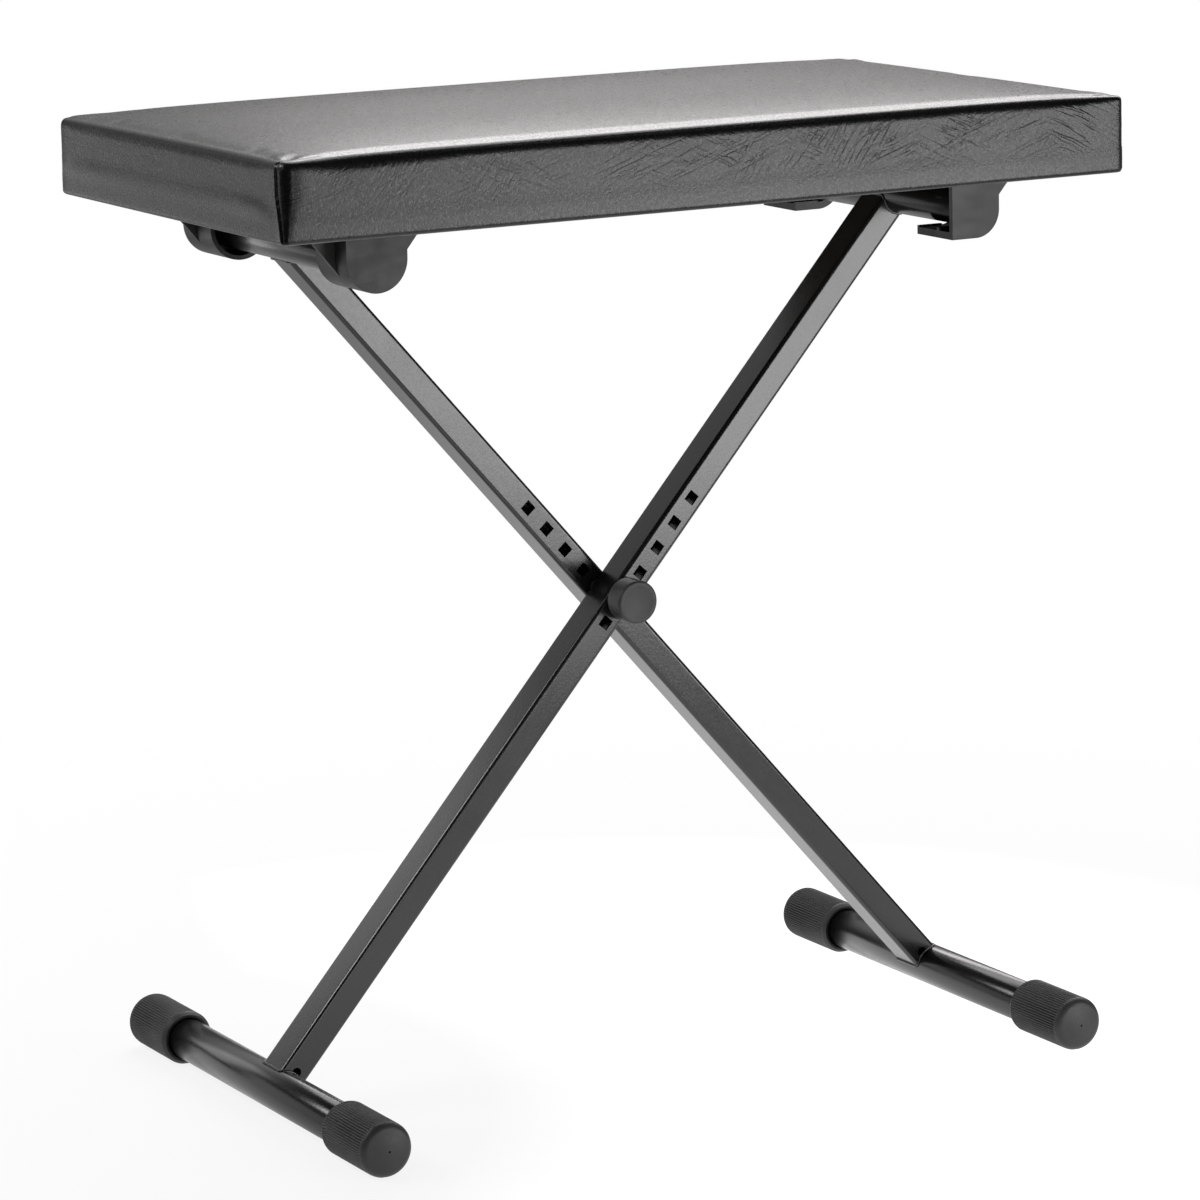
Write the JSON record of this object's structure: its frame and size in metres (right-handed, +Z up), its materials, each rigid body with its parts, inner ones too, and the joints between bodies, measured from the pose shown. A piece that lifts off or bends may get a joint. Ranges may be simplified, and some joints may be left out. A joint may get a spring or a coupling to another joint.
{
  "type": "folding keyboard bench",
  "caption": "Folding X-frame keyboard bench with a flat padded seat, steel tube legs, ribbed rubber feet and a clamping knob that sets the height.",
  "frame": {"origin": "on the floor, straight below the middle of the bench", "axes": "+X to the right along the seat, +Y to the back, +Z up"},
  "size_m": [0.55, 0.3312, 0.5799],
  "materials": {
    "leatherette": "black grained leatherette, satin",
    "foam": "open-cell foam",
    "board_wood": "plain wood panel",
    "gloss_plastic": "black, moulded, glossy",
    "zinc_steel": "zinc plated",
    "powder_coat": "black powder coat, satin",
    "rubber": "black, ribbed, matt",
    "matte_plastic": "black, moulded, matt",
    "black_steel": "blackened steel",
    "brass": "turned"
  },
  "bodies": {
    "rear_leg": {"rear_leg_tube": "powder_coat", "right_foot_bar": "powder_coat", "right_front_foot_cap": "rubber", "right_rear_foot_cap": "rubber", "left_cross_tube": "powder_coat", "rear_leg_foot_weld": "powder_coat", "rear_leg_head_weld": "powder_coat", "pivot_bolt": "black_steel", "leg_spacer": "matte_plastic"},
    "front_leg": {"front_leg_tube": "powder_coat", "left_foot_bar": "powder_coat", "left_front_foot_cap": "rubber", "left_rear_foot_cap": "rubber", "right_cross_tube": "powder_coat", "right_cross_tube_front_plug": "matte_plastic", "right_cross_tube_rear_plug": "matte_plastic", "front_leg_foot_weld": "powder_coat", "front_leg_head_weld": "powder_coat"},
    "seat": {"seat_cover": "leatherette", "foam_core": "foam", "seat_board": "board_wood", "front_hinge_bracket": "gloss_plastic", "rear_hinge_bracket": "gloss_plastic", "front_hook_bracket": "gloss_plastic", "rear_hook_bracket": "gloss_plastic", "front_hinge_bracket_screw_1": "zinc_steel", "front_hinge_bracket_screw_2": "zinc_steel", "front_hinge_bracket_screw_3": "zinc_steel", "front_hinge_bracket_screw_4": "zinc_steel", "rear_hinge_bracket_screw_1": "zinc_steel", "rear_hinge_bracket_screw_2": "zinc_steel", "rear_hinge_bracket_screw_3": "zinc_steel", "rear_hinge_bracket_screw_4": "zinc_steel", "front_hook_bracket_screw_1": "zinc_steel", "front_hook_bracket_screw_2": "zinc_steel", "front_hook_bracket_screw_3": "zinc_steel", "front_hook_bracket_screw_4": "zinc_steel", "rear_hook_bracket_screw_1": "zinc_steel", "rear_hook_bracket_screw_2": "zinc_steel", "rear_hook_bracket_screw_3": "zinc_steel", "rear_hook_bracket_screw_4": "zinc_steel"},
    "knob_carrier": {"clamp_washer": "zinc_steel"},
    "knob": {"clamping_knob": "matte_plastic", "knob_insert": "brass"}
  },
  "joints": [
    {"name": "seat_hinge", "type": "hinge", "parent": "rear_leg", "child": "seat", "pos_m": [-0.1985, 0, 0.51305], "axis": [0, -1, 0], "range_deg": [0, 36]},
    {"name": "leg_scissor", "type": "hinge", "parent": "rear_leg", "child": "front_leg", "pos_m": [0, 0, 0.28545], "axis": [0, -1, 0], "range_deg": [0, 72]},
    {"name": "knob_travel", "type": "slide", "parent": "rear_leg", "child": "knob_carrier", "axis": [0, -1, 0], "range_m": [0, 0.00301]},
    {"name": "knob_turn", "type": "hinge", "parent": "knob_carrier", "child": "knob", "pos_m": [0, 0, 0.28545], "axis": [0, -1, 0], "range_deg": [0, 1080]}
  ],
  "couplings": [
    {"joint": "leg_scissor", "follows": "seat_hinge", "ratio": 2},
    {"joint": "knob_travel", "follows": "knob_turn", "m_per_rad": 0.00015915}
  ]
}
